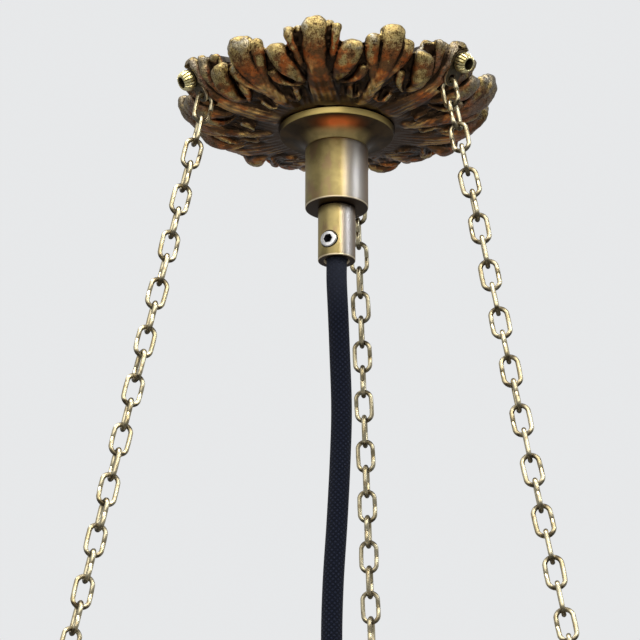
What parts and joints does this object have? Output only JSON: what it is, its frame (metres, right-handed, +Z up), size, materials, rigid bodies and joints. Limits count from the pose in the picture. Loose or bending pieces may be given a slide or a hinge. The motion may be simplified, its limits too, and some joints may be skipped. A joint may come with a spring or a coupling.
{
  "type": "pendant lamp",
  "caption": "Hanging bowl lamp: cast leaf canopy at the ceiling, three link chains to a hoop with an opal glass bowl, and a bulb on a braided cord.",
  "frame": {"origin": "middle of the ceiling bracket's top face, where the lamp meets the ceiling", "axes": "+Z up, towards the ceiling; +Y towards the back chain; +X to the right"},
  "size_m": [0.218, 0.2266, 0.4262],
  "materials": {
    "cast_brass": "aged cast brass, dark in the hollows and worn bright on the tips",
    "turned_brass": "turned brass, satin, with brown patina",
    "chain_brass": "pale bright brass with dark dirt in the corners",
    "stainless_steel": "bright stainless steel",
    "zinc_steel": "zinc plated sheet steel",
    "cord_braid": "navy black textile braid",
    "terminal_body": "natural moulded plastic",
    "porcelain": "white glazed porcelain",
    "opal_glass": "warm white opal glass",
    "frosted_glass": "frosted white glass",
    "bulb_metal": "rolled aluminium",
    "core_brown": "brown insulation",
    "core_green": "green insulation",
    "core_blue": "blue insulation"
  },
  "bodies": {
    "root": {"ceiling_bracket": "zinc_steel", "canopy": "cast_brass", "canopy_nut": "turned_brass", "threaded_tube": "turned_brass", "flange": "turned_brass", "collar": "turned_brass", "cord_grip": "turned_brass", "terminal_block": "terminal_body", "terminal_screw_1": "turned_brass", "terminal_screw_2": "turned_brass", "terminal_screw_3": "turned_brass", "core_live": "core_brown", "core_earth": "core_green", "core_neutral": "core_blue", "upper_cord": "cord_braid", "hanger_tab_back": "chain_brass", "hanger_tab_left": "chain_brass", "hanger_tab_right": "chain_brass"},
    "set_screw": {"set_screw": "stainless_steel"},
    "hanger_screw_back": {"hanger_screw_back": "chain_brass"},
    "hanger_screw_left": {"hanger_screw_left": "chain_brass"},
    "hanger_screw_right": {"hanger_screw_right": "chain_brass"},
    "chain_back": {"chain_back": "chain_brass"},
    "chain_left": {"chain_left": "chain_brass"},
    "chain_right": {"chain_right": "chain_brass"},
    "hoop": {"hoop": "turned_brass", "lug_back": "turned_brass", "lug_left": "turned_brass", "lug_right": "turned_brass", "rivet_back": "turned_brass", "rivet_left": "turned_brass", "rivet_right": "turned_brass"},
    "bowl": {"glass_bowl": "opal_glass"},
    "lampholder": {"cord": "cord_braid", "lower_cord": "cord_braid", "holder_grip": "turned_brass", "holder_cap": "turned_brass", "holder_shell": "turned_brass", "holder_insert": "porcelain", "screw_shell": "chain_brass", "centre_contact": "chain_brass"},
    "bulb": {"bulb_cap": "bulb_metal", "bulb_glass": "frosted_glass"}
  },
  "joints": [
    {"name": "hoop_swing", "type": "hinge", "parent": "root", "child": "hoop", "pos_m": [0, 0, 0.2105], "axis": [1, 0, 0], "range_deg": [-2.3, 2.3]},
    {"name": "chain_back_swing", "type": "hinge", "parent": "root", "child": "chain_back", "pos_m": [0, 0.04862, -0.01436], "axis": [1, 0, 0], "range_deg": [-4.2, 4.2]},
    {"name": "chain_left_swing", "type": "hinge", "parent": "root", "child": "chain_left", "pos_m": [-0.0421, -0.02431, -0.01436], "axis": [0.9831, -0.0197, -0.182], "range_deg": [-4.2, 4.2]},
    {"name": "chain_right_swing", "type": "hinge", "parent": "root", "child": "chain_right", "pos_m": [0.0421, -0.02431, -0.01436], "axis": [0.9831, 0.0197, 0.182], "range_deg": [-4.2, 4.2]},
    {"name": "bowl_lift", "type": "slide", "parent": "hoop", "child": "bowl", "axis": [0, 0, 1], "range_m": [0, 0.0125]},
    {"name": "lampholder_swing", "type": "hinge", "parent": "root", "child": "lampholder", "pos_m": [0, 0, -0.0687], "axis": [1, 0, 0], "range_deg": [-2.5, 2.5]},
    {"name": "bulb_turn", "type": "hinge", "parent": "lampholder", "child": "bulb", "pos_m": [0, 0, -0.3], "axis": [0, 0, 1], "continuous": true},
    {"name": "set_screw_turn", "type": "hinge", "parent": "root", "child": "set_screw", "pos_m": [0, 0, -0.0625], "axis": [-0.3007, -0.9537, 0], "continuous": true},
    {"name": "hanger_screw_back_turn", "type": "hinge", "parent": "root", "child": "hanger_screw_back", "pos_m": [0, 0.0534, -0.008], "axis": [0, 0.8572, -0.515], "continuous": true},
    {"name": "hanger_screw_left_turn", "type": "hinge", "parent": "root", "child": "hanger_screw_left", "pos_m": [-0.04625, -0.0267, -0.008], "axis": [-0.7423, -0.4286, -0.515], "continuous": true},
    {"name": "hanger_screw_right_turn", "type": "hinge", "parent": "root", "child": "hanger_screw_right", "pos_m": [0.04625, -0.0267, -0.008], "axis": [0.7423, -0.4286, -0.515], "continuous": true}
  ],
  "couplings": [
    {"joint": "chain_back_swing", "follows": "hoop_swing", "ratio": 1.7452},
    {"joint": "chain_left_swing", "follows": "hoop_swing", "ratio": 1.7158},
    {"joint": "chain_right_swing", "follows": "hoop_swing", "ratio": 1.7158}
  ]
}
